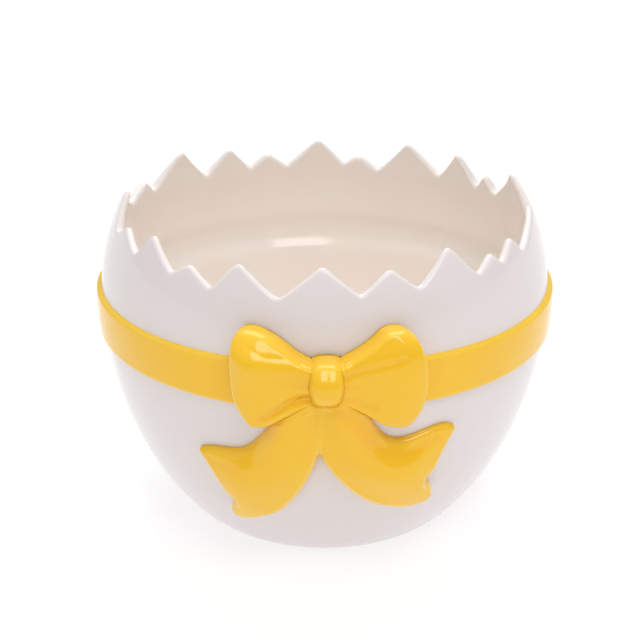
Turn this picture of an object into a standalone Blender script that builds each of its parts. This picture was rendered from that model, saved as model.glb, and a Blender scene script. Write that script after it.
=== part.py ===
"""Yarn bowl shaped as a cracked eggshell, with a raised ribbon band and a bow on its front.

Metres, +Z up. The origin is the centre of the flat base, the bow faces -Y, and +X is on the right
of someone who looks at the bow. Every piece is glazed ceramic.

Places on the shell are given as (across, height): across is the distance round the belly from the
front centre line, positive towards +X, and height is the height above the table.
"""
import math

import bmesh
import bpy

OBJECT_NAME = "yarn_bowl"
MM = 0.001
GAP = 0.0003            # clearance between neighbouring pieces

# The egg: two half ellipses that meet at the belly.
EGG_RADIUS = 0.075
BELLY_HEIGHT = 0.0765
LOWER_REACH = 0.097     # vertical half axis below the belly
UPPER_REACH = 0.0725    # vertical half axis above the belly
WALL = 0.0035
BODY_TOP = 0.090        # below this height the rows of the shell are level
BODY_ROWS = 7
TOOTH_ROWS = 2
ROW_EASING = 0.9        # power that spaces the level rows, below 1 to crowd them near the top
SHARP_ANGLE = 40        # degrees between faces above which an edge stays sharp

# The broken rim, once round from the back: (degrees from the front, height in mm) of each tip and
# each notch in turn, starting with a tip.
RIM = (
    (-178, 110), (-168, 99), (-161.5, 105), (-156, 99.5), (-148, 109), (-140.5, 99.5),
    (-128, 112.5), (-117.5, 100.5), (-112, 106), (-104, 101), (-81, 113), (-72, 103),
    (-65.5, 107.5), (-56, 102), (-51, 110), (-40.5, 101.5), (-35.5, 105.5), (-28, 100),
    (-22, 108.5), (-11, 99.5), (-0.5, 109), (8.5, 100.5), (16, 107.5), (23, 101), (33, 111),
    (40.5, 101), (47, 106), (49.5, 101.5), (57, 107.5), (60.5, 101.5), (82, 108.5), (92, 101),
    (102, 112.5), (119, 98.5), (122, 105.5), (127, 98.5), (133, 110.5), (142, 99), (152, 110.5),
    (163, 97.5), (169, 103.5), (174, 99.5),
)
TIP_ROUNDING = 1.1      # degrees to each side over which a tip or a notch is rounded
TIP_SAMPLES = 9         # samples of the sharp line that a rounded height averages
WIDEST_COLUMN = 4.5     # degrees between two columns of the shell

# The ribbon that runs round the belly.
BAND_BOTTOM = 0.0660
BAND_TOP = 0.0820
BAND_RADIUS = 0.077
BAND_EDGE = 0.0008      # radius of its long edges
BAND_ROWS = 6           # faces down its inner side
TURN_STEPS = 72         # faces once round the ribbon and the cutter

# The solid core that trims the back of the bow.
CORE_BOTTOM = 0.004
CORE_TOP = 0.100
CORE_ROWS = 24

# The bow. Each piece is a loft through sections, and each section is a row of
# (across, height, relief) points in mm; relief is the distance out from the shell.
LOOP_LEFT = (
    ((0, 72, 5.5), (0, 74.3, 5.8), (0, 78.4, 6.8), (0, 80.6, 7.0), (0, 82.5, 5.0)),
    ((-6, 69, 6.0), (-6, 73.4, 5.8), (-6, 78, 8.0), (-6, 82, 8.6), (-6, 84.2, 6.4)),
    ((-12, 64.8, 6.4), (-13.3, 69.8, 5.8), (-14, 77, 8.4), (-13.8, 83.6, 9.4), (-12, 88.2, 6.8)),
    ((-16.2, 62.3, 6.0), (-20.4, 68.2, 6.8), (-21.8, 77, 9.0), (-20.6, 85.6, 9.6), (-16.2, 90.9, 5.6)),
    ((-18, 61.9, 4.5), (-25, 67.6, 5.8), (-26.4, 77, 6.6), (-26, 87.4, 6.2), (-19, 91.9, 4.5)),
)
LOOP_RIGHT = (
    ((1.5, 72, 5.5), (1.5, 74.4, 5.8), (1.5, 78.8, 6.8), (1.5, 81, 6.6), (1.5, 82.5, 5.0)),
    ((7.5, 69.2, 6.0), (7.5, 72.4, 6.4), (7.5, 77.5, 8.0), (7.5, 82.4, 8.2), (7.5, 85.2, 6.4)),
    ((14, 64.6, 6.4), (15.5, 70.2, 7.2), (16, 77, 8.8), (15.2, 84.4, 8.8), (13.5, 88.8, 6.8)),
    ((17, 62.6, 6.0), (22.4, 68.6, 7.8), (24.2, 77, 9.0), (22.8, 86.6, 9.0), (16.6, 91.6, 5.8)),
    ((19, 61.9, 4.5), (27.4, 67.2, 6.2), (28.8, 77, 6.8), (27, 87.2, 6.4), (18.5, 92.2, 4.6)),
)
KNOT = (
    ((-4.2, 72.6, 5.8), (-4.8, 78, 7.6), (-4.3, 83.2, 5.6)),
    ((-2.4, 71, 7.6), (-2.6, 78, 10.6), (-2.4, 84.3, 7.8)),
    ((0.5, 70.6, 8.0), (0.5, 78, 11.2), (0.5, 84.6, 8.2)),
    ((3.4, 71, 7.6), (3.6, 78, 10.6), (3.4, 84.3, 7.8)),
    ((5.2, 72.6, 5.8), (5.8, 78, 7.6), (5.3, 83.2, 5.6)),
)
TAIL_LEFT = (
    ((1.6, 75, 5.0), (-2, 75, 5.5), (-5.5, 74, 5.5), (-9, 72, 5.0)),
    ((-0.6, 56, 4.8), (-6.5, 57.5, 5.8), (-12, 59, 4.2), (-17, 60.2, 4.0)),
    ((-5.6, 41, 4.2), (-13, 45, 5.6), (-19, 49.5, 3.0), (-24.5, 52, 3.4)),
    ((-14, 28.5, 4.0), (-21, 35, 5.2), (-26.5, 42.5, 3.0), (-32, 49.8, 3.2)),
    ((-19.6, 25.2, 3.6), (-27, 30, 4.8), (-32, 39.5, 4.2), (-38.5, 48.8, 3.0)),
    ((-24, 23.4, 3.2), (-34.2, 24.6, 4.0), (-33, 34, 4.0), (-42.2, 47.2, 2.8)),
)
TAIL_RIGHT = (
    ((-0.4, 75, 5.0), (3.5, 75, 5.5), (7, 74, 5.5), (10.5, 72, 5.0)),
    ((-2.6, 55, 4.6), (5, 57, 5.8), (10.5, 60, 4.2), (15, 61.4, 4.0)),
    ((5.5, 40.5, 4.2), (12.5, 45.5, 5.6), (17, 51, 3.0), (21.5, 55.6, 3.4)),
    ((16.5, 31, 4.0), (21.5, 38.5, 5.2), (25.5, 47, 3.0), (30, 56.4, 3.2)),
    ((20.2, 29.4, 3.6), (28, 36, 4.8), (32, 46, 4.2), (37.5, 57.6, 3.0)),
    ((24.3, 27.9, 3.2), (37, 30, 4.0), (34.6, 41.5, 4.0), (42.2, 55.6, 2.8)),
)
ROOT = 0.0015           # how far a bow piece reaches into the shell before it is trimmed
EDGE_ROUND = 2.6        # exponent of the rounded edge, 2 is an ellipse and more is squarer
LOFT_STEPS = 4          # faces between two neighbouring sections or points

GLAZE_WHITE = (0.76, 0.71, 0.69)
GLAZE_YELLOW = (0.90, 0.55, 0.05)


def clear_scene():
    for old in list(bpy.data.objects):
        bpy.data.objects.remove(old, do_unlink=True)


def new_collection(name):
    collection = bpy.data.collections.new(name)
    bpy.context.scene.collection.children.link(collection)
    return collection


def glaze(name, colour):
    """A glossy coloured ceramic glaze."""
    material = bpy.data.materials.new(name)
    material.use_nodes = True
    shader = material.node_tree.nodes["Principled BSDF"]
    shader.inputs["Base Color"].default_value = (*colour, 1.0)
    shader.inputs["Roughness"].default_value = 0.15
    shader.inputs["Metallic"].default_value = 0.0
    return material


def shell_radius(height):
    """Outer radius of the egg at a height."""
    reach = LOWER_REACH if height < BELLY_HEIGHT else UPPER_REACH
    return EGG_RADIUS * math.sqrt(max(0.0, 1 - ((BELLY_HEIGHT - height) / reach) ** 2))


def shell_lean(height):
    """Angle of the shell's outward normal below the horizontal."""
    step = 0.0005
    return math.atan((shell_radius(height + step) - shell_radius(height - step)) / (2 * step))


def on_shell(across, height, relief):
    """The point at a distance from the shell's surface, in metres."""
    lean = shell_lean(height)
    radius = shell_radius(height) + relief * math.cos(lean)
    angle = across / EGG_RADIUS
    return (radius * math.sin(angle), -radius * math.cos(angle), height - relief * math.sin(lean))


def rim_line(angle):
    """Height of the sharp zigzag at an angle in degrees."""
    first_angle = RIM[0][0]
    turned = (angle - first_angle) % 360 + first_angle
    around = RIM + ((first_angle + 360, RIM[0][1]),)
    for (start, low), (end, high) in zip(around, around[1:]):
        if turned <= end:
            share = (turned - start) / (end - start)
            return (low + (high - low) * share) * MM
    return RIM[0][1] * MM


def rim_height(angle):
    """Height of the rim with its tips and notches rounded."""
    offsets = [TIP_ROUNDING * (2 * i / (TIP_SAMPLES - 1) - 1) for i in range(TIP_SAMPLES)]
    return sum(rim_line(angle + offset) for offset in offsets) / TIP_SAMPLES


def rim_columns():
    """Angles of the shell's columns: close together at each tip and notch, wider between them."""
    angles = []
    around = RIM + ((RIM[0][0] + 360, RIM[0][1]),)
    for (start, _), (end, _) in zip(around, around[1:]):
        near = min(TIP_ROUNDING, (end - start) / 3)
        angles += [start, start + near]
        inner = end - start - 2 * near
        parts = max(1, math.ceil(inner / WIDEST_COLUMN))
        angles += [start + near + inner * i / parts for i in range(1, parts + 1)]
    return angles


def mesh_object(name, mesh_builder, collection, material=None):
    """A new object from a bmesh, with faces turned outward and round parts shaded smooth."""
    mesh = bpy.data.meshes.new(name)
    mesh_builder.normal_update()
    mesh_builder.to_mesh(mesh)
    mesh_builder.free()
    mesh.shade_smooth()
    mesh.set_sharp_from_angle(angle=math.radians(SHARP_ANGLE))
    if material:
        mesh.materials.append(material)
    made = bpy.data.objects.new(name, mesh)
    collection.objects.link(made)
    return made


def make_shell(collection, material):
    """The egg cup: an open surface up to the broken rim, thickened inward."""
    build = bmesh.new()
    base = build.verts.new((0, 0, 0))
    columns = []
    for degrees in rim_columns():
        top = rim_height(degrees)
        heights = [BODY_TOP * (i / BODY_ROWS) ** ROW_EASING for i in range(BODY_ROWS + 1)]
        heights += [BODY_TOP + (top - BODY_TOP) * i / TOOTH_ROWS for i in range(1, TOOTH_ROWS + 1)]
        across = math.radians(degrees) * EGG_RADIUS
        columns.append([build.verts.new(on_shell(across, height, 0)) for height in heights])
    for left, right in zip(columns, columns[1:] + columns[:1]):
        build.faces.new((base, right[0], left[0]))
        for row in range(len(left) - 1):
            build.faces.new((left[row], right[row], right[row + 1], left[row + 1]))
    shell = mesh_object("egg_shell", build, collection, material)
    solidify = shell.modifiers.new("wall", 'SOLIDIFY')
    solidify.thickness = WALL
    solidify.offset = -1
    solidify.use_even_offset = True
    return shell


def rounded_corner(centre, radius, start, end, steps=3):
    """Points of an arc from start to end, in degrees."""
    angles = [math.radians(start + (end - start) * i / steps) for i in range(steps + 1)]
    return [(centre[0] + radius * math.cos(a), centre[1] + radius * math.sin(a)) for a in angles]


def band_face(clearance):
    """The ribbon's outer face with its two rounded edges, from top to bottom, and a clearance round it."""
    top = BAND_TOP + clearance
    bottom = BAND_BOTTOM - clearance
    edge = BAND_EDGE + clearance
    centre = BAND_RADIUS + clearance - edge
    upper = rounded_corner((centre, top - edge), edge, 90, 0)
    lower = rounded_corner((centre, bottom + edge), edge, 0, -90)
    return upper + lower


def egg_line(start, end, rows):
    """Points just outside the egg from one height to another."""
    heights = [start + (end - start) * i / rows for i in range(rows + 1)]
    return [(shell_radius(height) + GAP, height) for height in heights]


def turned(name, outline, collection, material=None):
    """A solid turned round the Z axis from a closed outline of (radius, height) points."""
    build = bmesh.new()
    corners = [build.verts.new((radius, 0, height)) for radius, height in outline]
    for first, second in zip(corners, corners[1:] + corners[:1]):
        build.edges.new((first, second))
    solid = mesh_object(name, build, collection, material)
    screw = solid.modifiers.new("turn", 'SCREW')
    screw.axis = 'Z'
    screw.steps = TURN_STEPS
    screw.render_steps = TURN_STEPS
    screw.use_merge_vertices = True
    screw.merge_threshold = 0.00001
    screw.use_smooth_shade = True
    return solid


def curve_point(before, start, end, after, share):
    """Catmull-Rom point between start and end."""
    result = []
    for a, b, c, d in zip(before, start, end, after):
        result.append(0.5 * (2 * b + (c - a) * share + (2 * a - 5 * b + 4 * c - d) * share ** 2
                             + (3 * b - a - 3 * c + d) * share ** 3))
    return tuple(result)


def smooth_line(points, steps):
    """A smooth line of points through the given points, steps to each span."""
    ahead = tuple(2 * a - b for a, b in zip(points[0], points[1]))
    behind = tuple(2 * a - b for a, b in zip(points[-1], points[-2]))
    padded = [ahead, *points, behind]
    line = [points[0]]
    for i in range(1, len(points)):
        for step in range(1, steps + 1):
            line.append(curve_point(*padded[i - 1:i + 3], step / steps))
    return line


def rounding(share, both_ends):
    """Rises from 0 at an edge to 1 inside it, as a rounded edge does."""
    reach = abs(2 * share - 1) if both_ends else share
    return max(0.0, 1 - reach ** (2 * EDGE_ROUND)) ** (1 / EDGE_ROUND)


def loft(name, sections, collection, material=None, round_start=False):
    """A closed solid on the shell through sections of (across, height, relief) points."""
    crossed = [smooth_line(section, LOFT_STEPS) for section in sections]
    columns = [smooth_line(list(column), LOFT_STEPS) for column in zip(*crossed)]
    rows = list(zip(*columns))
    last_row = len(rows) - 1
    last_point = len(columns) - 1
    build = bmesh.new()
    top = []
    bottom = []
    for i, row in enumerate(rows):
        along = rounding(i / last_row, round_start)
        top_row = []
        bottom_row = []
        for j, (across, height, relief) in enumerate(row):
            share = along * rounding(j / last_point, True)
            raised = relief * MM * share
            top_row.append(build.verts.new(on_shell(across * MM, height * MM, raised)))
            bottom_row.append(build.verts.new(on_shell(across * MM, height * MM, -ROOT)))
        top.append(top_row)
        bottom.append(bottom_row)
    for i in range(last_row):
        for j in range(last_point):
            build.faces.new((top[i][j], top[i + 1][j], top[i + 1][j + 1], top[i][j + 1]))
            build.faces.new((bottom[i][j], bottom[i][j + 1], bottom[i + 1][j + 1], bottom[i + 1][j]))
    rim = [(i, 0) for i in range(last_row)] + [(last_row, j) for j in range(last_point)]
    rim += [(i, last_point) for i in range(last_row, 0, -1)]
    rim += [(0, j) for j in range(last_point, 0, -1)]
    for (i, j), (k, m) in zip(rim, rim[1:] + rim[:1]):
        build.faces.new((top[i][j], bottom[i][j], bottom[k][m], top[k][m]))
    bmesh.ops.recalc_face_normals(build, faces=build.faces)
    return mesh_object(name, build, collection, material)


def grown_copy(solid, collection):
    """A cutter that is larger than a solid by the gap on every side."""
    cutter = bpy.data.objects.new("around_" + solid.name, solid.data)
    collection.objects.link(cutter)
    displace = cutter.modifiers.new("gap", 'DISPLACE')
    displace.mid_level = 0
    displace.strength = GAP
    return cutter


def cut(solid, cutter):
    boolean = solid.modifiers.new("clear of " + cutter.name, 'BOOLEAN')
    boolean.operation = 'DIFFERENCE'
    boolean.object = cutter


def hide(cutter):
    cutter.hide_render = True
    cutter.display_type = 'WIRE'


def make_band(collection, material):
    """The ribbon, turned from a flat profile that follows the egg on its inner side."""
    outline = band_face(0) + egg_line(BAND_BOTTOM, BAND_TOP, BAND_ROWS)
    return turned("ribbon_band", outline, collection, material)


def shell_core(collection):
    """The egg and the ribbon with the gap added, as one turned cutter."""
    top = BAND_TOP + GAP
    bottom = BAND_BOTTOM - GAP
    middle = EGG_RADIUS / 2
    outline = egg_line(CORE_TOP, top, CORE_ROWS // 2) + band_face(GAP)
    outline += egg_line(bottom, CORE_BOTTOM, CORE_ROWS // 2)
    outline += [(middle, CORE_BOTTOM), (middle, CORE_TOP)]
    return turned("egg_and_ribbon", outline, collection)


def main():
    clear_scene()
    parts = new_collection(OBJECT_NAME)
    cutters = new_collection("cutters")
    white = glaze("white_glaze", GLAZE_WHITE)
    yellow = glaze("yellow_glaze", GLAZE_YELLOW)

    make_shell(parts, white)
    make_band(parts, yellow)
    core = shell_core(cutters)

    knot = loft("bow_knot", KNOT, parts, yellow, round_start=True)
    left_loop = loft("bow_loop_left", LOOP_LEFT, parts, yellow)
    right_loop = loft("bow_loop_right", LOOP_RIGHT, parts, yellow)
    left_tail = loft("bow_tail_left", TAIL_LEFT, parts, yellow)
    right_tail = loft("bow_tail_right", TAIL_RIGHT, parts, yellow)

    around_knot = grown_copy(knot, cutters)
    around_loops = [grown_copy(loop, cutters) for loop in (left_loop, right_loop)]
    around_left_tail = grown_copy(left_tail, cutters)
    for piece in (left_loop, right_loop, left_tail, right_tail):
        cut(piece, around_knot)
    for tail in (left_tail, right_tail):
        for around_loop in around_loops:
            cut(tail, around_loop)
    cut(right_tail, around_left_tail)
    for piece in (knot, left_loop, right_loop, left_tail, right_tail):
        cut(piece, core)
    for cutter in cutters.objects:
        hide(cutter)


main()
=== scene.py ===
"""The looks of the cracked-eggshell yarn bowl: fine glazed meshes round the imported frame.

Metres, +Z up, in the frame's own coordinates: the origin is the centre of the flat base and the bow
faces -Y. A place on the shell is (across, height): across is the distance round the belly from the
front centre line, positive towards +X. Relief is the distance out from the shell's surface.
"""
import math

import bpy
import numpy as np
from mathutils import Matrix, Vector
from mathutils.bvhtree import BVHTree


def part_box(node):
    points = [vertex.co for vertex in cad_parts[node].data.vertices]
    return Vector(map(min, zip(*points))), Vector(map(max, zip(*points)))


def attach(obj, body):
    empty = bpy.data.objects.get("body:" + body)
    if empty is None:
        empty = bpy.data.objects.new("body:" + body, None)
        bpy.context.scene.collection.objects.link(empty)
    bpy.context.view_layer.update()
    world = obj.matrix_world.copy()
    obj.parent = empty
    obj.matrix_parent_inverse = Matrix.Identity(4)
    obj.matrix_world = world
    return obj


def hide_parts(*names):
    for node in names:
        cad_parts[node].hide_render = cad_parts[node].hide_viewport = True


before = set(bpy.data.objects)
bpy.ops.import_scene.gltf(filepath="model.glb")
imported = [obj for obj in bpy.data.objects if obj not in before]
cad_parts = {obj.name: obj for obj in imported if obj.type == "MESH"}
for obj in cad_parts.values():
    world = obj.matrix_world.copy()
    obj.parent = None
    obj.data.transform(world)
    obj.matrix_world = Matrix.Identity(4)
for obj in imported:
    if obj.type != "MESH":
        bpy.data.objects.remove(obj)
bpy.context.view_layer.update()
band_low, band_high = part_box("ribbon_band")

MM = 0.001

# The egg: two half ellipses that meet at the belly.
EGG_RADIUS = 0.075
BELLY_HEIGHT = 0.0765
LOWER_REACH = 0.097
UPPER_REACH = 0.0725
WALL = 0.0035
RIM_ROUND = 0.0018       # how far the rounding of the broken edge reaches down
RIM_SQUARE = 2.2         # 2 makes the broken edge a half ellipse, more makes it squarer
RIM_STEPS = 14           # steps of the mesh across the broken edge
TIP_THINNING = 0.0014    # the wall loses this much between these two heights
THIN_FROM = 0.096
THIN_TO = 0.113
FOOT_TOP = 0.004         # the rounded corner of the foot ends at this height
BODY_TOP = 0.088         # the rows of the mesh are level between the foot and this height
BODY_ROWS = 56
TEETH_ROWS = 24
COLUMN_STEP = 0.6        # degrees between the columns of the mesh, at most
OUTSIDE_WAVER = 0.00010  # how uneven the cast is
INSIDE_WAVER = 0.00012
INSIDE_FADE = 0.02       # over this height inside, the unevenness comes in above the floor

# The broken rim: (degrees from the front, height in mm) of its tips and notches in turn, and of a
# bend in the long edge on the right.
RIM = (
    (-178, 110), (-168, 99), (-161.5, 105), (-156, 99.5), (-148, 109), (-140.5, 99.5),
    (-128, 112.5), (-117.5, 100.5), (-112, 106), (-104, 101), (-81, 113.6), (-72, 103),
    (-65.5, 107.5), (-56, 102), (-51, 110), (-40.5, 101.5), (-35.5, 105.5), (-28, 100),
    (-22, 108.5), (-11, 99.5), (-0.5, 109), (8.5, 100.5), (16, 107.5), (23, 101), (33, 111),
    (40.5, 101), (47, 106), (49.5, 101.5), (57, 107.5), (60.5, 101.5), (69.5, 105.5), (82, 108.5),
    (92, 101), (102, 112.5), (119, 98.5), (122, 105.5), (127, 98.5), (133, 110.5), (142, 99),
    (152, 110.5), (163, 97.5), (169, 103.5), (174, 99.5),
)
RIM_CLOSED = np.array(RIM + ((RIM[0][0] + 360, RIM[0][1]),), dtype=float)
TIP_ROUNDING = 1.96      # degrees to each side over which a tip or a notch is rounded
ROUNDING_SAMPLES = 11

# Inside the bowl the slip-cast wall follows the ribbon as a shallow groove: a lip below, which
# catches the light, and a slow rise above.
LOW_WALL = 0.0044        # the wall's thickness below the lip
GROOVE_DEPTH = 0.0020
LIP_HEIGHT = 0.0066
RISE_HEIGHT = 0.0100
LIP_SINK = 0.0028        # how far the lip starts below the ribbon's lower edge
RISE_SINK = 0.0010       # how far the rise ends below the ribbon's upper edge

BOWL_FLOOR = 0.004
BOWL_FILLET = 0.012      # how near the floor the wall begins to run into it
INNER_LOW = 0.030        # the wall's rows inside end here, and the floor's begin
EGG_LOW = -0.018         # the egg's curve is followed down to here to meet the bowl's floor
FLOOR_ROWS = 48
CAP_RADIUS = 0.0008      # of the small disc that closes the mesh at the centre of the floor

# The underside from its centre out: (radius, height) in mm of a shallow recess and a flat foot ring.
UNDERSIDE = (
    (0.8, 0.8), (15, 0.8), (28, 0.8), (36.5, 0.8), (38, 0.68), (39.5, 0.16),
    (40.1, 0), (43, 0), (44.3, 0),
)
FOOT_KNEE = 0.0461       # the radius that the foot's rounded corner bends round
CORNER_STEPS = 8
FOOT_BARE = slice(5, 10)  # rows of the underside that are wiped free of glaze

BURIED = 0.0009          # how far relief reaches into the shell's wall
BAND_SPREAD = 0.0003     # how far the painted ribbon runs past its relief at each long edge
BAND_SINK = 0.0003       # how far its long edges lie below the shell's surface
BAND_EDGE = 0.26         # share of its half width over which the relief rises
BAND_CROWN = 0.05        # share of its relief that is lost towards the edges
BAND_WAVER = 0.00018
BAND_COLUMNS = 480
BAND_EDGE_ROWS = 14
BAND_MIDDLE_ROWS = 16
THIN_INNER = 0.45        # the glaze runs thin between these shares of the half width from an edge
THIN_OUTER = 0.08


# ---------------------------------------------------------------- shape of the shell

def shell_radius(height):
    reach = np.where(height < BELLY_HEIGHT, LOWER_REACH, UPPER_REACH)
    return EGG_RADIUS * np.sqrt(np.maximum(0.0, 1 - ((BELLY_HEIGHT - height) / reach) ** 2))


def shell_lean(height):
    """Angle of the outward normal below the horizontal."""
    step = 0.0005
    return np.arctan((shell_radius(height + step) - shell_radius(height - step)) / (2 * step))


def on_shell(angle, height, relief):
    """Points at a distance from the shell's surface, as an array whose last axis is x, y, z."""
    lean = shell_lean(height)
    radius = shell_radius(height) + relief * np.cos(lean)
    z = height - relief * np.sin(lean)
    return np.stack(np.broadcast_arrays(radius * np.sin(angle), -radius * np.cos(angle), z), axis=-1)


def rim_height(degrees):
    """Height of the rim, with its tips and notches rounded."""
    angles, heights = RIM_CLOSED.T
    total = np.zeros_like(degrees)
    weights = np.hanning(ROUNDING_SAMPLES + 2)[1:-1]
    for shift, weight in zip(np.linspace(-TIP_ROUNDING, TIP_ROUNDING, ROUNDING_SAMPLES), weights):
        shifted = (degrees + shift - angles[0]) % 360 + angles[0]
        total += weight * np.interp(shifted, angles, heights * MM)
    return total / weights.sum()


def rim_columns():
    """Angles in degrees of the mesh columns, closer together at the tips and the notches."""
    columns = []
    angles = RIM_CLOSED[:, 0]
    for start, end in zip(angles, angles[1:]):
        count = max(6, math.ceil((end - start) / COLUMN_STEP))
        share = np.arange(count) / count
        eased = 0.5 - 0.5 * np.cos(math.pi * share)
        columns.append(start + (end - start) * (0.5 * share + 0.5 * eased))
    return np.concatenate(columns)


def waves(angle, height, amount):
    """The slight unevenness of a hand-finished cast, the same once round."""
    first = np.sin(3 * angle + 40 * height + 0.6) * np.sin(2 * angle - 75 * height + 1.9)
    second = np.sin(7 * angle - 110 * height + 2.7) * np.cos(5 * angle + 160 * height)
    return amount * (0.7 * first + 0.3 * second)


def soft_step(value):
    share = np.clip(value, 0, 1)
    return share * share * share * (share * (6 * share - 15) + 10)


def wall_at(height):
    """Thickness of the wall: thinner behind the ribbon, whose relief it follows, and at the tips."""
    lip = np.clip((height - band_low[2] + LIP_SINK) / LIP_HEIGHT, 0, 1)
    lip = lip * lip * (3 - 2 * lip)
    rise = soft_step((band_high[2] - RISE_SINK - height) / RISE_HEIGHT)
    thinning = TIP_THINNING * soft_step((height - THIN_FROM) / (THIN_TO - THIN_FROM))
    return WALL + (LOW_WALL - WALL) * (1 - lip) - GROOVE_DEPTH * lip * rise - thinning


def turned(angle, radius, height):
    """Rows of points round the Z axis at given radii and heights."""
    radius = np.asarray(radius)[:, None]
    height = np.asarray(height)[:, None]
    across, away = radius * np.sin(angle), -radius * np.cos(angle)
    return np.stack(np.broadcast_arrays(across, away, height), axis=-1)


# ---------------------------------------------------------------- meshes

def grid_quads(index):
    """The quads between the rows and columns of a grid of point numbers."""
    quads = np.stack([index[:-1, :-1], index[:-1, 1:], index[1:, 1:], index[1:, :-1]], axis=-1)
    return quads.reshape(-1, 4)


def grid_mesh(name, points, attributes, wrap_rows=False, caps=False):
    """A mesh from rows of points that each run once round. Caps close the first and last rows."""
    rows, columns = points.shape[:2]
    index = np.arange(rows * columns).reshape(rows, columns)
    index = np.concatenate([index, index[:, :1]], axis=1)
    if wrap_rows:
        index = np.concatenate([index, index[:1]])
    faces = grid_quads(index).tolist()
    if caps:
        faces.append(index[0, :-1][::-1].tolist())
        faces.append(index[-1, :-1].tolist())
    return build_mesh(name, points.reshape(-1, 3), faces, attributes)


def build_mesh(name, points, faces, attributes):
    mesh = bpy.data.meshes.new(name)
    mesh.from_pydata(points.tolist(), [], faces)
    for key, values in attributes.items():
        layer = mesh.attributes.new(key, 'FLOAT', 'POINT')
        layer.data.foreach_set("value", np.asarray(values, dtype=np.float32).ravel())
    mesh.shade_smooth()
    made = bpy.data.objects.new(name, mesh)
    bpy.context.scene.collection.objects.link(made)
    return made


def finish_piece(piece, material, node):
    piece.data.materials.append(material)
    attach(piece, "root")
    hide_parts(node)


def make_shell(material):
    degrees = rim_columns()
    angle = np.radians(degrees)[None, :]
    top = rim_height(degrees)[None, :] - RIM_ROUND

    body = np.linspace(FOOT_TOP, BODY_TOP, BODY_ROWS)[:, None] + np.zeros_like(top)
    share = (np.arange(1, TEETH_ROWS + 1) / TEETH_ROWS)[:, None]
    teeth = BODY_TOP + (top - BODY_TOP) * share
    outer_heights = np.concatenate([body, teeth])
    outer = on_shell(angle, outer_heights, waves(angle, outer_heights, OUTSIDE_WAVER))

    turn = np.linspace(0, math.pi, RIM_STEPS + 1)[1:-1, None]
    side = np.sign(np.cos(turn)) * np.abs(np.cos(turn)) ** (2 / RIM_SQUARE)
    rise = np.sin(turn) ** (2 / RIM_SQUARE)
    rim = on_shell(angle, top + RIM_ROUND * rise, wall_at(top) / 2 * (side - 1))

    inner_heights = outer_heights[::-1]
    inner_heights = inner_heights[inner_heights[:, 0] > INNER_LOW]
    fade_in = soft_step((inner_heights - INNER_LOW) / INSIDE_FADE)
    uneven = waves(angle, inner_heights, INSIDE_WAVER) * fade_in
    inner = on_shell(angle, inner_heights, uneven - wall_at(inner_heights))

    foot = foot_rows(angle)
    points = np.concatenate([foot, outer, rim, inner, floor_rows(angle)])
    below = np.zeros(len(foot) + len(outer))
    above = np.ones(len(points) - len(below) - len(rim))
    # The inside's lighter colour, which is partly painted light, comes in across the broken edge.
    inside = np.concatenate([below, np.linspace(0.0, 0.9, len(rim)), above])
    bare = np.zeros(len(points))
    bare[FOOT_BARE] = 1.0
    columns = points.shape[1]
    attributes = {"inside": np.repeat(inside, columns), "bare": np.repeat(bare, columns)}
    shell = grid_mesh("shell_glazed", points, attributes, caps=True)
    finish_piece(shell, material, "egg_shell")


def floor_rows(angle):
    """The inside from the foot of the wall to the centre of the floor, with a wide fillet."""
    low = np.linspace(EGG_LOW, INNER_LOW, 120)
    wall = on_shell(np.zeros_like(low), low, -LOW_WALL)
    radius = np.linspace(-wall[-1, 1], CAP_RADIUS, FLOOR_ROWS)
    climb = np.interp(radius, -wall[:, 1], wall[:, 2])
    near = np.clip(1 - np.abs(climb - BOWL_FLOOR) / BOWL_FILLET, 0, 1)
    height = np.maximum(climb, BOWL_FLOOR) + near ** 2 * BOWL_FILLET / 4
    return turned(angle, radius, height)


def foot_rows(angle):
    """The underside, and the rounded corner that joins it to the side."""
    rows = [np.array(row) * MM for row in UNDERSIDE]
    side = on_shell(np.zeros(1), np.array([FOOT_TOP]), 0.0)[0]
    start, knee, end = rows[-1], np.array([FOOT_KNEE, 0.0]), np.array([-side[1], FOOT_TOP])
    for share in np.linspace(0, 1, CORNER_STEPS + 1)[1:-1]:
        rows.append((1 - share) ** 2 * start + 2 * share * (1 - share) * knee + share ** 2 * end)
    radius, height = np.array(rows).T
    return turned(angle, radius, height)


def make_band(material):
    """The ribbon: raised relief with soft edges, turned round the belly."""
    angle = np.linspace(-math.pi, math.pi, BAND_COLUMNS + 1)[None, :-1]
    middle = (band_low[2] + band_high[2]) / 2
    half = (band_high[2] - band_low[2]) / 2
    relief = band_high[0] - EGG_RADIUS
    top_rows = np.linspace(0.72, 1, BAND_EDGE_ROWS)
    middle_rows = np.linspace(-0.66, 0.66, BAND_MIDDLE_ROWS)
    share = np.concatenate([-top_rows[::-1], middle_rows, top_rows])[:, None]
    from_edge = 1 - np.abs(share)
    waver = waves(angle, 0.3 + 0.05 * np.sign(share), BAND_WAVER)
    height = middle + (half + BAND_SPREAD) * share + waver
    rise = soft_step(from_edge / BAND_EDGE)
    raised = on_shell(angle, height, relief * rise * (1 - BAND_CROWN * share ** 2) - BAND_SINK)
    hidden = on_shell(angle, height[::-1][::6], np.full((1, 1), -BURIED))
    points = np.concatenate([raised, hidden])
    thin = np.zeros(points.shape[:2])
    thin[:len(share)] = -soft_step(1 - from_edge / THIN_INNER) * soft_step(from_edge / THIN_OUTER)
    band = grid_mesh("band_painted", points, {"glaze_and_shade": thin}, wrap_rows=True)
    finish_piece(band, material, "ribbon_band")


# ---------------------------------------------------------------- the bow

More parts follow.
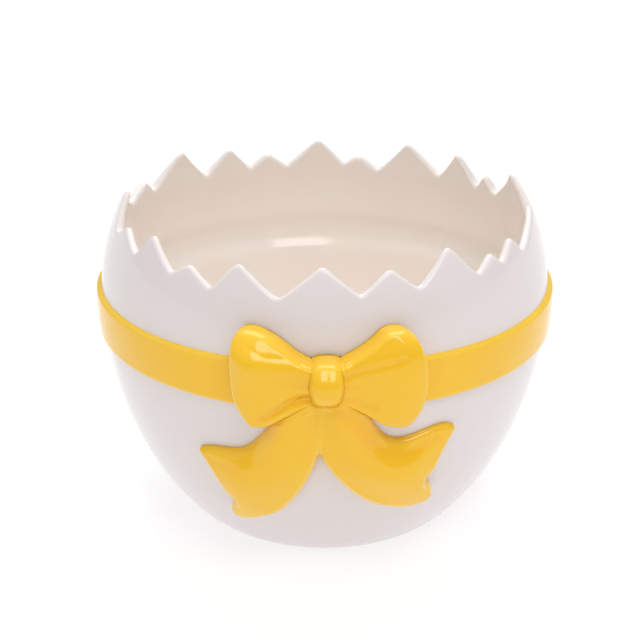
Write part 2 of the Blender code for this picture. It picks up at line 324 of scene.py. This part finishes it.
# Sections of (across, height, relief) in mm, from the knot outward. In each section the points run
# from the lower edge to the upper one, or on a tail from its inner edge to its outer one. Relief is
# the height inside the rounded edge. An end curve is the outline of a piece's far end.
LOOP_LEFT = (
    ((0, 72, 5.0), (0, 73.2, 5.4), (0, 74.3, 5.2), (0, 76.2, 5.6),
     (0, 78.4, 5.8), (0, 80.2, 5.6), (0, 81.3, 5.2), (0, 82.5, 4.6)),
    ((-6, 69, 5.4), (-6, 71.2, 6.0), (-6, 73.4, 5.8), (-6, 76, 6.4),
     (-6, 79.2, 7.1), (-6, 81.3, 7.4), (-6, 82.9, 7.0), (-6, 84.5, 5.8)),
    ((-12, 64.8, 5.6), (-12.9, 67.2, 6.6), (-13.3, 69.8, 6.6), (-13.9, 74.6, 7.6),
     (-14, 79.6, 9.0), (-13.9, 83.0, 9.4), (-13.2, 86, 7.3), (-12, 88.6, 5.1)),
    ((-16.2, 62.3, 5.6), (-18.6, 64.6, 6.6), (-20.4, 68.2, 7.2), (-21.8, 74.0, 8.6),
     (-21.8, 80.2, 10.1), (-20.9, 84.4, 10.9), (-19.0, 88.0, 8.3), (-16.2, 90.9, 5.4)),
    ((-18, 61.6, 4.8), (-22.9, 62.8, 5.6), (-25.8, 68.6, 6.4), (-26.6, 75, 7.2),
     (-27.1, 81.2, 7.4), (-26.8, 87.4, 6.8), (-24.6, 91.2, 5.2), (-19, 91.8, 4.6)),
)
LOOP_LEFT_END = (
    (-18, 61.9), (-20.5, 61.6), (-22.5, 63.2), (-23.9, 66), (-25.1, 68.8), (-25.9, 72.3),
    (-26.2, 76.5),
    (-26.4, 81.2), (-26.4, 85.6), (-25.8, 89), (-24.4, 91.2), (-22, 92.1), (-19, 91.9),
)
LOOP_RIGHT = (
    ((1.5, 72, 5.2), (1.5, 73.2, 5.6), (1.5, 74.4, 5.4), (1.5, 76.6, 6.0),
     (1.5, 78.8, 6.0), (1.5, 80.2, 6.0), (1.5, 81.4, 5.6), (1.5, 82.5, 4.8)),
    ((7.5, 69.2, 5.4), (7.5, 70.8, 6.2), (7.5, 72.4, 6.4), (7.5, 76.6, 7.0),
     (7.5, 80.4, 7.0), (7.5, 82.4, 7.0), (7.5, 84, 6.6), (7.5, 85.4, 6.0)),
    ((13.4, 65.0, 5.8), (14.4, 67.4, 6.9), (15.2, 70.4, 7.4), (15.8, 76.4, 8.4),
     (15.6, 82.2, 8.7), (15.0, 85, 8.3), (14.2, 87, 7.6), (13.2, 88.9, 6.7)),
    ((17, 62.6, 5.6), (20.4, 65, 7.0), (22.6, 68.6, 8.0), (24.2, 76, 9.2),
     (24.1, 83.2, 9.6), (23.0, 87.0, 9.0), (20.6, 89.6, 7.8), (16.6, 91.6, 6.4)),
    ((19, 61.6, 5.0), (25.4, 62.7, 6.0), (28.2, 67.6, 6.8), (29.5, 75.4, 7.4),
     (29.1, 81.6, 7.6), (27.8, 86.2, 7.0), (25.2, 90.4, 6.0), (18.5, 92.2, 5.4)),
)
LOOP_RIGHT_END = (
    (19, 61.9), (21.8, 61.4), (24.2, 62.2), (26, 64.4), (27.6, 67.7), (28.5, 71.4), (28.8, 76.2),
    (28.6, 80.7), (27.9, 84.5), (26.7, 87.6), (25, 90.2), (22.2, 91.9), (18.5, 92.2),
)
KNOT = (
    ((-4.2, 72.6, 5.4), (-4.6, 75, 7.0), (-4.8, 78.0, 7.7), (-4.6, 81.0, 6.6), (-4.3, 83.2, 5.0)),
    ((-2.4, 71, 6.2), (-2.5, 74.4, 9.3), (-2.6, 78.6, 10.7), (-2.5, 81.6, 8.9), (-2.4, 84.3, 6.7)),
    ((0.5, 70.6, 6.4), (0.5, 74.2, 9.7), (0.5, 78.8, 11.1), (0.5, 81.8, 9.2), (0.5, 84.6, 7.0)),
    ((3.4, 71, 6.2), (3.5, 74.4, 9.3), (3.6, 78.6, 10.7), (3.5, 81.6, 8.9), (3.4, 84.3, 6.7)),
    ((5.2, 72.6, 5.4), (5.6, 75, 7.0), (5.8, 78.0, 7.7), (5.6, 81.0, 6.6), (5.3, 83.2, 5.0)),
)
TAIL_LEFT = (
    ((1.6, 75, 3.6), (-0.6, 75, 4.2), (-2.8, 74.8, 4.6),
     (-4.6, 74.2, 4.4), (-6.8, 73.2, 4.0), (-9, 72, 3.6)),
    ((-0.6, 56, 4.2), (-5, 57.2, 5.8), (-11, 59, 6.8),
     (-13.8, 59.6, 5.6), (-15.6, 60, 4.2), (-17, 60.2, 3.4)),
    ((-5.6, 41, 4.0), (-11, 44, 5.8), (-17.6, 48.8, 7.1),
     (-20.2, 50.2, 5.8), (-22.6, 51.3, 4.3), (-24.5, 52, 3.4)),
    ((-14, 28.9, 3.8), (-20, 34.4, 5.6), (-26.8, 43.4, 6.9),
     (-28.6, 46, 5.5), (-30.4, 48.1, 4.1), (-32, 49.8, 3.2)),
    ((-19.6, 25.2, 3.6), (-26, 28, 5.0), (-31, 38.6, 6.0),
     (-33.2, 41.9, 4.9), (-35.8, 45.5, 3.8), (-38.5, 48.8, 3.0)),
    ((-24, 23.4, 3.4), (-34.1, 23.4, 4.2),
     (-31.1, 31.4, 4.8), (-34.9, 36.2, 4.2), (-38.6, 42, 3.5), (-42.2, 47.2, 2.8)),
)
TAIL_LEFT_END = (
    (-24, 23.4), (-28.4, 22), (-31.8, 22), (-34.1, 23.4), (-34.6, 25.8), (-33.2, 28.6),
    (-31.1, 31.4),
    (-31.7, 32.8), (-33.9, 34.9), (-35.9, 37.8), (-38.6, 42), (-40.4, 44.8), (-42.2, 47.2),
)
TAIL_RIGHT = (
    ((-0.4, 75, 3.6), (2, 75, 4.2), (4.4, 74.8, 4.6),
     (6.4, 74.2, 4.4), (8.4, 73.2, 4.0), (10.5, 72, 3.6)),
    ((-2.6, 55, 4.2), (3, 56.4, 5.8), (8.4, 58.8, 6.8),
     (11.0, 60.2, 5.2), (13, 60.9, 3.8), (15, 61.4, 3.4)),
    ((5.5, 40.5, 4.0), (10.8, 44.4, 5.8), (15.9, 49.6, 7.2),
     (18.0, 52.2, 5.4), (19.9, 54.2, 3.6), (21.5, 55.6, 3.2)),
    ((14.5, 32.2, 3.8), (20, 38.2, 5.6), (24.6, 46.2, 7.0),
     (26.4, 50.2, 5.2), (28.2, 53.4, 3.4), (30, 56.4, 3.2)),
    ((20.2, 29.4, 3.6), (27, 34, 5.2), (29.6, 43.0, 6.2),
     (31.8, 48.0, 4.6), (34.4, 52.8, 3.2), (37.5, 57.6, 3.0)),
    ((24.3, 27.9, 3.4), (36.8, 28.9, 4.2),
     (33.2, 39.4, 4.8), (36.4, 43.2, 3.8), (39.4, 49.0, 2.9), (42.2, 55.6, 2.8)),
)
TAIL_RIGHT_END = (
    (24.3, 27.9), (28.8, 27.2), (33.6, 27.7), (36.8, 28.9), (38.1, 31), (37.6, 33.8), (35.5, 36.9),
    (33.2, 39.4), (35, 41.3), (37.2, 44.2), (39.4, 49), (41.1, 52.4), (42.2, 55.6),
)

# Creases drawn into a piece: (depth, half width, (across, height) points of its line), all in mm.
# The depth also deepens the yellow along the line, as pooled glaze and painted shade in the crease.
CREASES = {
    "loop_left": (
        (0.8, 1.3, ((-2, 74.6), (-8.8, 72.2), (-12.4, 69.6), (-17, 66.4))),
        (0.25, 0.9, ((-4, 77.6), (-8.8, 77.9), (-11.5, 78.4))),
        (0.16, 0.6, ((-20, 87.6), (-16.3, 85.7), (-13.6, 85.1), (-9, 84.6), (-5, 83.6))),
        (0.06, 0.5, ((-19.8, 83.8), (-15.4, 82.3), (-11.3, 81.5), (-7, 81.1))),
    ),
    "loop_right": (
        (0.35, 0.9, ((3, 79.6), (8.9, 81.4), (14.7, 82.8), (20.5, 84.4))),
        (0.5, 1.2, ((3, 74.2), (8.8, 71.8), (13, 70.4))),
        (0.25, 0.8, ((3, 77.4), (8, 77.4))),
        (0.15, 1.0, ((7, 83.4), (13.5, 86.8), (18, 89))),
    ),
    "knot": (),
    "tail_left": (
        (0.4, 2.0, ((-14, 64), (-16.8, 59.5), (-19.6, 54.8), (-23, 50.4),
                    (-27, 47.2), (-31.5, 45.8), (-37, 46))),
    ),
    "tail_right": (
        (0.6, 2.2, ((4, 69), (9.9, 62.4), (14.5, 57), (19, 53.2), (24, 51.8), (29, 52.8), (34, 54.8))),
    ),
}
CREASE_POINTS = 24
END_START = 0.75         # how far along a piece its end curve begins to draw it
SHOULDER_SQUARE = 2.2    # 2 makes the edge of a piece a quarter ellipse, more makes it squarer

# Where pieces meet, in mm.
FILLET = 3.6             # difference of relief over which two pieces melt together
TOUCHING = 0.2           # relief that a neighbour needs before it counts
SKIRT = 1.0              # how far a lower piece rises where a higher one stands on it
SKIRT_WIDTH = 1.5
SKIRT_FADE = 2.0         # the rise fades where the lower piece's own relief is below this
SKIRT_POOL_AND_SHADE = 0.25        # glaze that pools there, a deeper yellow that is also painted shade under the higher piece

# The glaze runs thin just inside the outline of a piece.
THIN_GLAZE = 0.6
THIN_AT = 1.4            # mm from the outline
THIN_WIDTH = 0.8
FACE_SINK = 0.00005      # how far the outline of a piece lies below the shell's surface


def spline(knots, values, at):
    """Natural cubic spline through values (first axis) at the knots, read at other places."""
    span = np.diff(knots)
    count = len(knots)
    system = np.eye(count)
    right = np.zeros_like(values)
    slope = np.diff(values, axis=0) / span.reshape(-1, *[1] * (values.ndim - 1))
    for i in range(1, count - 1):
        system[i, i - 1:i + 2] = span[i - 1], 2 * (span[i - 1] + span[i]), span[i]
        right[i] = 6 * (slope[i] - slope[i - 1])
    bend = np.linalg.solve(system, right.reshape(count, -1)).reshape(values.shape)
    cell = np.clip(np.searchsorted(knots, at, side="right") - 1, 0, count - 2)
    width = span[cell].reshape(-1, *[1] * (values.ndim - 1))
    share = ((at - knots[cell]) / span[cell]).reshape(width.shape)
    rest = 1 - share
    straight = rest * values[cell] + share * values[cell + 1]
    curve = (rest ** 3 - rest) * bend[cell] + (share ** 3 - share) * bend[cell + 1]
    return straight + curve * width ** 2 / 6


def smooth_line(points, count):
    values = np.array(points, dtype=float)
    knots = np.linspace(0, 1, len(values))
    return spline(knots, values, np.linspace(0, 1, count))


def line_distance(flat, line):
    """Distance in mm of each point of a flat grid from a line of points."""
    start = line[:-1][None]
    span = (line[1:] - line[:-1])[None]
    points = flat.reshape(-1, 1, 2)
    length = np.maximum((span ** 2).sum(-1), 1e-12)
    share = np.clip(((points - start) * span).sum(-1) / length, 0, 1)
    near = start + span * share[..., None]
    return np.sqrt(((points - near) ** 2).sum(-1)).min(1).reshape(flat.shape[:2])


def shoulder(distance, width):
    """Rises from 0 at the outline to 1 at the shoulder's width, upright at the outline."""
    reach = np.clip(1 - distance / width, 0, 1)
    return (1 - reach ** SHOULDER_SQUARE) ** (1 / SHOULDER_SQUARE)


def chord_knots(cage):
    """Knots from 0 to 1 along the first axis, spaced as the flat points are."""
    steps = np.linalg.norm(np.diff(cage[..., :2], axis=0), axis=-1).mean(axis=1)
    return np.concatenate([[0], np.cumsum(steps)]) / steps.sum()


def end_pull(flat, end):
    """Shifts that draw the far end of a flat grid onto its end curve, easing off along the piece."""
    curve = np.array(end, dtype=float)
    wanted = spline(chord_knots(curve[:, None]), curve, np.linspace(0, 1, flat.shape[1]))
    reach = np.clip((np.linspace(0, 1, len(flat)) - END_START) / (1 - END_START), 0, 1) ** 2
    return reach[:, None, None] * (wanted - flat[-1])


def bow_sheet(name, level, sections, end, shoulder_width, rows, columns):
    """A bow piece before it meets its neighbours: its flat grid, relief, thin glaze and the deeper
    yellow of pooled glaze and painted crease shade, and outline.

    A piece that has an end curve begins under its neighbours, so its first edge isn't rounded.
    """
    cage = np.array(sections, dtype=float)
    flow = chord_knots(cage.swapaxes(0, 1))
    if end:
        curve = np.array(end, dtype=float)
        cage[-1, :, :2] = spline(chord_knots(curve[:, None]), curve, flow)
    fine = spline(chord_knots(cage), cage, np.linspace(0, 1, rows)).swapaxes(0, 1)
    fine = spline(flow, fine, np.linspace(0, 1, columns)).swapaxes(0, 1)
    flat = fine[..., :2]
    if end:
        flat = flat + end_pull(flat, end)
    free = [flat[:, 0], flat[-1], flat[::-1, -1]]
    if not end:
        free.append(flat[0, ::-1])
    outline = np.concatenate(free)
    distance = line_distance(flat, outline)
    relief = fine[..., 2].copy()
    glaze_and_shade = -THIN_GLAZE * np.exp(-((distance - THIN_AT) / THIN_WIDTH) ** 2)
    for depth, half_width, points in CREASES[name]:
        line = smooth_line(points, CREASE_POINTS)
        drawn = np.exp(-(line_distance(flat, line) / half_width) ** 2)
        relief -= depth * drawn
        # Painted shade: the crease's yellow deepens with its depth, partly as pooled glaze.
        glaze_and_shade += depth * drawn
    relief *= shoulder(distance, shoulder_width)
    return {
        "name": name, "level": level, "flat": flat, "relief": relief, "glaze_and_shade": glaze_and_shade, "outline": outline,
    }


def relief_reader(sheet):
    """A function that reads a sheet's relief at (across, height) points, -1 outside it."""
    flat = sheet["flat"]
    rows, columns = flat.shape[:2]
    places = np.concatenate([flat.reshape(-1, 2), sheet["relief"].reshape(-1, 1)], axis=1)
    quads = grid_quads(np.arange(rows * columns).reshape(rows, columns))
    tree = BVHTree.FromPolygons(places.tolist(), quads.tolist())
    down = Vector((0, 0, -1))

    def read(points):
        starts = (Vector((across, height, 100)) for across, height in points.tolist())
        hits = (tree.ray_cast(start, down)[0] for start in starts)
        return np.array([hit.z if hit else -1.0 for hit in hits])
    return read


def melt_together(sheets):
    """Raises each sheet where it meets another, so that the pieces flow into each other."""
    readers = [relief_reader(sheet) for sheet in sheets]
    raised = []
    for i, sheet in enumerate(sheets):
        relief = sheet["relief"].copy()
        inside = np.clip(relief / SKIRT_FADE, 0, 1)
        for j, other in enumerate(sheets):
            if i == j:
                continue
            there = readers[j](sheet["flat"].reshape(-1, 2)).reshape(relief.shape)
            near = np.clip(1 - np.abs(relief - there) / FILLET, 0, 1) * (there > TOUCHING)
            gain = near ** 2 * FILLET / 4
            if other["level"] > sheet["level"]:
                skirt = np.exp(-(line_distance(sheet["flat"], other["outline"]) / SKIRT_WIDTH) ** 2)
                # Painted shade: the lower piece's yellow deepens along the outline of the higher piece
                # standing on it.
                sheet["glaze_and_shade"] = sheet["glaze_and_shade"] + SKIRT_POOL_AND_SHADE * skirt
                gain = gain + SKIRT * skirt * inside
            relief = relief + gain
        raised.append(relief)
    for sheet, relief in zip(sheets, raised):
        sheet["relief"] = relief


def bow_piece(sheet, node, material):
    """The mesh of one piece of the bow, closed at its back inside the shell's wall."""
    flat = sheet["flat"]
    relief = sheet["relief"]
    angle = flat[..., 0] * MM / EGG_RADIUS
    height = flat[..., 1] * MM
    face = on_shell(angle, height, relief * MM - FACE_SINK)
    back = on_shell(angle, height, np.full_like(angle, -BURIED))
    rows, columns = relief.shape
    index = np.arange(rows * columns).reshape(rows, columns)
    quads = grid_quads(index)
    under = quads[:, ::-1] + rows * columns
    ring = np.concatenate([index[:-1, 0], index[-1, :-1], index[:0:-1, -1], index[0, :0:-1]])
    following = np.roll(ring, -1)
    sides = np.stack([ring, following, following + rows * columns, ring + rows * columns], axis=-1)
    faces = np.concatenate([quads, under, sides[:, ::-1]])
    points = np.concatenate([face.reshape(-1, 3), back.reshape(-1, 3)])
    if signed_volume(points, faces) < 0:
        faces = faces[:, ::-1]
    glaze_and_shade = np.concatenate([sheet["glaze_and_shade"].ravel(), np.zeros(rows * columns)])
    piece = build_mesh(sheet["name"], points, faces.tolist(), {"glaze_and_shade": glaze_and_shade})
    finish_piece(piece, material, node)


def signed_volume(points, quads):
    a, b, c, d = (points[quads[:, i]] for i in range(4))
    return float(((np.cross(a, b) * c).sum() + (np.cross(a, c) * d).sum()) / 6)


def make_bow(material):
    """The bow, highest piece first: the knot lies over the loops, and the loops over the tails."""
    knot = {"level": 2, "shoulder_width": 2.2, "rows": 61, "columns": 61}
    loop = {"level": 1, "shoulder_width": 2.0, "rows": 97, "columns": 113}
    tail = {"level": 0, "shoulder_width": 3.0, "rows": 121, "columns": 97}
    sheets = [
        bow_sheet("knot", sections=KNOT, end=None, **knot),
        bow_sheet("loop_left", sections=LOOP_LEFT, end=LOOP_LEFT_END, **loop),
        bow_sheet("loop_right", sections=LOOP_RIGHT, end=LOOP_RIGHT_END, **loop),
        bow_sheet("tail_left", sections=TAIL_LEFT, end=TAIL_LEFT_END, **tail),
        bow_sheet("tail_right", sections=TAIL_RIGHT, end=TAIL_RIGHT_END, **tail),
    ]
    melt_together(sheets)
    for sheet in sheets:
        bow_piece(sheet, "bow_" + sheet["name"], material)


# ---------------------------------------------------------------- materials

def new_material(name):
    material = bpy.data.materials.new(name)
    material.use_nodes = True
    nodes = material.node_tree.nodes
    return material, nodes, material.node_tree.links, nodes["Principled BSDF"]


def noise(nodes, links, source, scale, detail=2.0, roughness=0.5):
    made = nodes.new("ShaderNodeTexNoise")
    made.inputs["Scale"].default_value = scale
    made.inputs["Detail"].default_value = detail
    made.inputs["Roughness"].default_value = roughness
    links.new(source, made.inputs["Vector"])
    return made.outputs["Fac"]


def spread(nodes, links, value, low, high, to_low, to_high):
    made = nodes.new("ShaderNodeMapRange")
    made.inputs["From Min"].default_value = low
    made.inputs["From Max"].default_value = high
    made.inputs["To Min"].default_value = to_low
    made.inputs["To Max"].default_value = to_high
    links.new(value, made.inputs["Value"])
    return made.outputs["Result"]


def mix(nodes, links, share, first, second):
    made = nodes.new("ShaderNodeMix")
    made.data_type = 'RGBA'
    links.new(share, made.inputs["Factor"])
    for key, value in (("A", first), ("B", second)):
        if isinstance(value, tuple):
            made.inputs[key].default_value = (*value, 1.0)
        else:
            links.new(value, made.inputs[key])
    return made.outputs["Result"]


def glaze_bump(nodes, links, shader, source, scale, strength, distance):
    """The faint waviness of a fired glaze over a fine orange peel."""
    broad = noise(nodes, links, source, scale, 1.0)
    bump = nodes.new("ShaderNodeBump")
    bump.inputs["Strength"].default_value = strength
    bump.inputs["Distance"].default_value = distance
    links.new(broad, bump.inputs["Height"])
    fine = nodes.new("ShaderNodeBump")
    fine.inputs["Strength"].default_value = strength * 0.5
    fine.inputs["Distance"].default_value = distance * 0.08
    links.new(noise(nodes, links, source, scale * 9, 2.0), fine.inputs["Height"])
    links.new(bump.outputs["Normal"], fine.inputs["Normal"])
    links.new(fine.outputs["Normal"], shader.inputs["Normal"])


def attribute(nodes, name):
    made = nodes.new("ShaderNodeAttribute")
    made.attribute_name = name
    return made.outputs["Fac"]


OUTSIDE = (0.775, 0.710, 0.711)
OUTSIDE_WARM = (0.775, 0.714, 0.703)
# The inside is a creamier and much lighter white than the outside: the extra lightness is painted
# light inside the bowl.
INSIDE_WITH_PAINTED_LIGHT = (0.925, 0.855, 0.795)
INSIDE_WARM_WITH_PAINTED_LIGHT = (0.915, 0.840, 0.775)
BISQUE = (0.78, 0.69, 0.58)
YELLOW = (0.93, 0.545, 0.014)
# YELLOW_DEEP is the deeper yellow of pooled glaze and of painted shade in creases and under higher
# pieces; it also varies the tone at random.
YELLOW_DEEP = (0.93, 0.47, 0.008)
YELLOW_THIN = (0.95, 0.66, 0.06)
GLAZE_IOR = 1.5
BARE_ROUGHNESS = 0.55    # what bare clay adds to the glaze's roughness


def shell_material():
    material, nodes, links, shader = new_material("shell_glaze")
    place = nodes.new("ShaderNodeTexCoord").outputs["Object"]
    cloud = spread(nodes, links, noise(nodes, links, place, 28, 3.0), 0.35, 0.65, 0, 1)
    outside = mix(nodes, links, cloud, OUTSIDE, OUTSIDE_WARM)
    inside = mix(nodes, links, cloud, INSIDE_WITH_PAINTED_LIGHT, INSIDE_WARM_WITH_PAINTED_LIGHT)
    # Painted light: the inside of the bowl gets the lighter white.
    glazed = mix(nodes, links, attribute(nodes, "inside"), outside, inside)
    colour = mix(nodes, links, attribute(nodes, "bare"), glazed, BISQUE)
    links.new(colour, shader.inputs["Base Color"])
    rough = nodes.new("ShaderNodeMath")
    rough.operation = 'MULTIPLY_ADD'
    links.new(attribute(nodes, "bare"), rough.inputs[0])
    rough.inputs[1].default_value = BARE_ROUGHNESS
    smudges = noise(nodes, links, place, 90, 2.0)
    links.new(spread(nodes, links, smudges, 0.3, 0.7, 0.07, 0.13), rough.inputs[2])
    links.new(rough.outputs[0], shader.inputs["Roughness"])
    shader.inputs["IOR"].default_value = GLAZE_IOR
    glaze_bump(nodes, links, shader, place, scale=90, strength=0.25, distance=0.00015)
    return material


def ribbon_material():
    material, nodes, links, shader = new_material("ribbon_glaze")
    place = nodes.new("ShaderNodeTexCoord").outputs["Object"]
    glaze_and_shade = attribute(nodes, "glaze_and_shade")
    # Above zero the yellow deepens, as pooled glaze and painted shade; below zero the glaze runs thin
    # and lighter.
    base = mix(nodes, links, spread(nodes, links, glaze_and_shade, 0.05, 1.0, 0, 1), YELLOW, YELLOW_DEEP)
    base = mix(nodes, links, spread(nodes, links, glaze_and_shade, -0.1, -1.0, 0, 0.7), base, YELLOW_THIN)
    cloud = spread(nodes, links, noise(nodes, links, place, 60, 3.0), 0.35, 0.7, 0, 0.25)
    colour = mix(nodes, links, cloud, base, YELLOW_DEEP)
    links.new(colour, shader.inputs["Base Color"])
    smudges = noise(nodes, links, place, 120, 2.0)
    links.new(spread(nodes, links, smudges, 0.3, 0.7, 0.06, 0.12), shader.inputs["Roughness"])
    shader.inputs["IOR"].default_value = GLAZE_IOR
    glaze_bump(nodes, links, shader, place, scale=110, strength=0.2, distance=0.00015)
    return material


# ---------------------------------------------------------------- camera, floor and light

CAMERA_DISTANCE = 0.45
CAMERA_ELEVATION = 23.97
CAMERA_TARGET = 0.05625
LENS = 72.9
SHIFT = (-0.0074, 0.0292)
FLOOR_WHITE = 0.44       # the floor reflects this much and glows with the rest
FLOOR_GLOW = 0.635
FLOOR_REACH = 30.0       # far enough that its edge stays out of the picture's lower part
FLOOR_DROP = 0.0002
LIGHT_TARGET = (0, 0, 0.07)
HORIZON = 0.39           # brightness of the studio at the horizon and straight above
ZENITH = 1.1
ZENITH_FOCUS = 2         # the higher, the more the light comes from straight above


def make_camera():
    data = bpy.data.cameras.new("camera")
    data.sensor_width = 36
    data.lens = LENS
    data.shift_x, data.shift_y = SHIFT
    camera = bpy.data.objects.new("camera", data)
    bpy.context.scene.collection.objects.link(camera)
    tilt = math.radians(CAMERA_ELEVATION)
    back, up = CAMERA_DISTANCE * math.cos(tilt), CAMERA_DISTANCE * math.sin(tilt)
    camera.location = (0, -back, CAMERA_TARGET + up)
    camera.rotation_euler = (math.pi / 2 - tilt, 0, 0)
    bpy.context.scene.camera = camera


def floor_material():
    material, nodes, links, shader = new_material("floor")
    shader.inputs["Base Color"].default_value = (FLOOR_WHITE, FLOOR_WHITE, FLOOR_WHITE, 1)
    shader.inputs["Roughness"].default_value = 0.9
    shader.inputs["Specular IOR Level"].default_value = 0.1
    shader.inputs["Emission Color"].default_value = (1, 1, 1, 1)
    shader.inputs["Emission Strength"].default_value = FLOOR_GLOW
    return material


def make_floor():
    size = FLOOR_REACH
    mesh = bpy.data.meshes.new("floor")
    corners = [(-size, -size, 0), (size, -size, 0), (size, size, 0), (-size, size, 0)]
    mesh.from_pydata(corners, [], [(0, 1, 2, 3)])
    mesh.materials.append(floor_material())
    floor = bpy.data.objects.new("floor", mesh)
    bpy.context.scene.collection.objects.link(floor)
    floor.location.z = -FLOOR_DROP


def softbox(name, azimuth, elevation, distance, size, energy):
    """A rectangular area light that faces the target. Azimuth 0 is in front, 90 is on the right."""
    data = bpy.data.lights.new(name, 'AREA')
    data.shape = 'RECTANGLE'
    data.size, data.size_y = size
    data.energy = energy
    light = bpy.data.objects.new(name, data)
    bpy.context.scene.collection.objects.link(light)
    turn = math.radians(azimuth)
    rise = math.radians(elevation)
    away = Vector((math.sin(turn) * math.cos(rise), -math.cos(turn) * math.cos(rise), math.sin(rise)))
    light.location = Vector(LIGHT_TARGET) + away * distance
    light.rotation_mode = 'QUATERNION'
    light.rotation_quaternion = away.to_track_quat('Z', 'Y')


def make_light():
    world = bpy.data.worlds.new("studio")
    world.use_nodes = True
    nodes = world.node_tree.nodes
    links = world.node_tree.links
    split = nodes.new("ShaderNodeSeparateXYZ")
    links.new(nodes.new("ShaderNodeTexCoord").outputs["Generated"], split.inputs[0])
    lift = nodes.new("ShaderNodeMath")
    lift.operation = 'POWER'
    lift.use_clamp = True
    links.new(spread(nodes, links, split.outputs["Z"], 0, 1, 0, 1), lift.inputs[0])
    lift.inputs[1].default_value = ZENITH_FOCUS
    strength = spread(nodes, links, lift.outputs[0], 0, 1, HORIZON, ZENITH)
    links.new(strength, nodes["Background"].inputs["Strength"])
    nodes["Background"].inputs["Color"].default_value = (1, 1, 1, 1)
    bpy.context.scene.world = world
    softbox("key_softbox", azimuth=18, elevation=54, distance=0.9, size=(0.42, 0.36), energy=1.8)
    softbox("back_softbox", azimuth=180, elevation=62, distance=0.9, size=(0.7, 0.7), energy=3.7)
    softbox("right_panel", azimuth=75, elevation=30, distance=1.0, size=(0.5, 0.7), energy=0.08)
    softbox("left_panel", azimuth=-80, elevation=30, distance=1.0, size=(0.5, 0.7), energy=0.15)
    bpy.context.scene.view_settings.view_transform = 'Standard'


def main():
    make_camera()
    make_floor()
    make_light()
    shell_glaze = shell_material()
    ribbon_glaze = ribbon_material()
    make_shell(shell_glaze)
    make_band(ribbon_glaze)
    make_bow(ribbon_glaze)


main()
